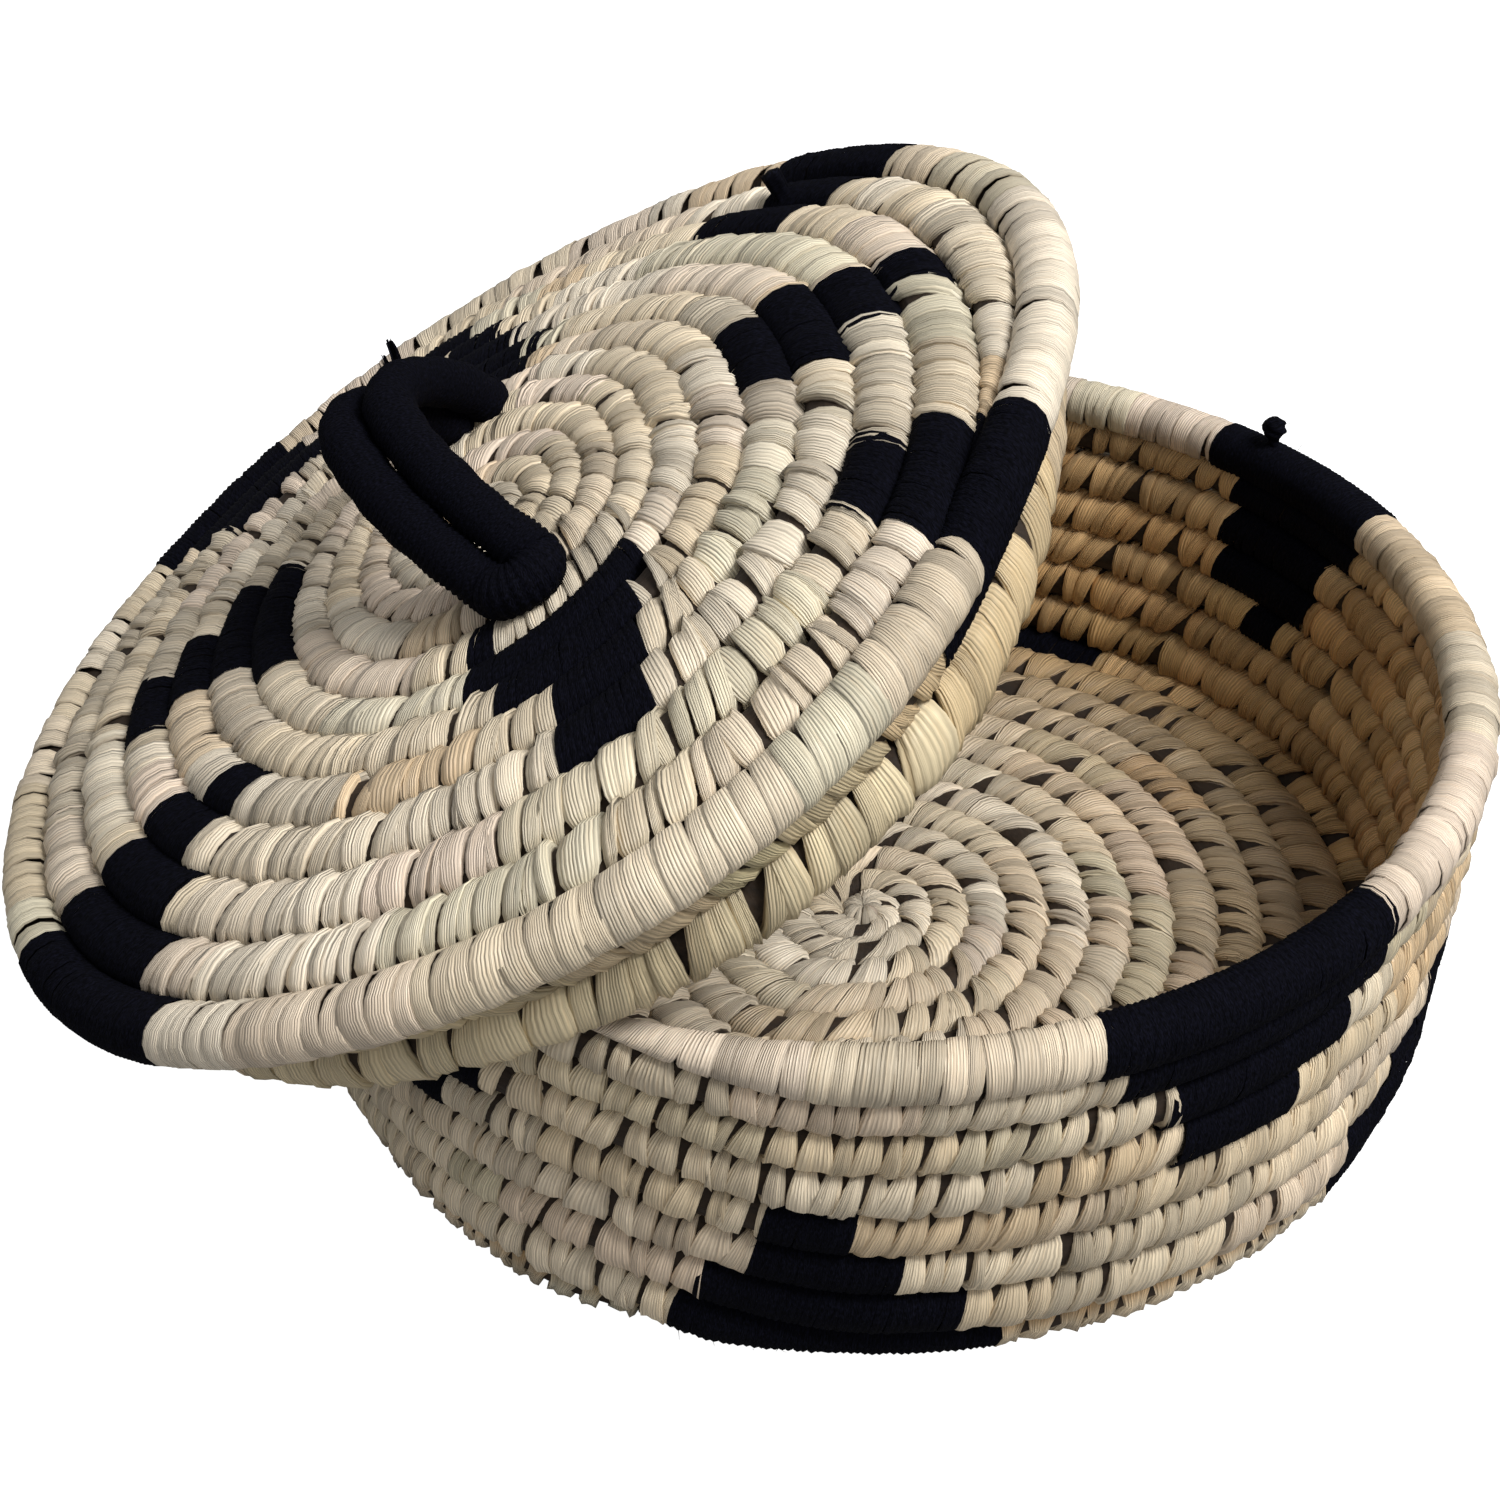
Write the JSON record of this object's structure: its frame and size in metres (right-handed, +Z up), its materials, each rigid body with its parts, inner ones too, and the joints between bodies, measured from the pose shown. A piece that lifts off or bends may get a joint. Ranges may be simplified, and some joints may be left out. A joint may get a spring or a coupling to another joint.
{
  "type": "roti basket",
  "caption": "Round coiled basket for roti, of grass cord bound in palm leaf with black stepped patches, its domed lid with a rope handle leaning open on the rim.",
  "frame": {"origin": "middle of the face that the basket stands on, on the basket's own axis", "axes": "+Z up along the basket's axis, -X towards the side that the lid leans over, -Y towards the viewer of the picture"},
  "size_m": [0.3151, 0.2646, 0.1692],
  "materials": {
    "palm_leaf": "dry split palm leaf over grass, satin",
    "black_yarn": "matte fuzzy spun yarn"
  },
  "bodies": {
    "basket": {"floor_start_knot": "palm_leaf", "floor_coil": "palm_leaf", "wall_coil": "palm_leaf", "rim_coil": "palm_leaf", "rim_knot": "black_yarn"},
    "lid": {"lid_start_knot": "palm_leaf", "lid_coil": "palm_leaf", "lid_rim_coil": "palm_leaf", "collar_coil": "palm_leaf", "handle_rope": "black_yarn", "lid_knot": "black_yarn"}
  },
  "joints": [
    {"name": "lid_lift", "type": "slide", "parent": "basket", "child": "lid", "axis": [0, 0, 1], "range_m": [0, 0.15]}
  ]
}
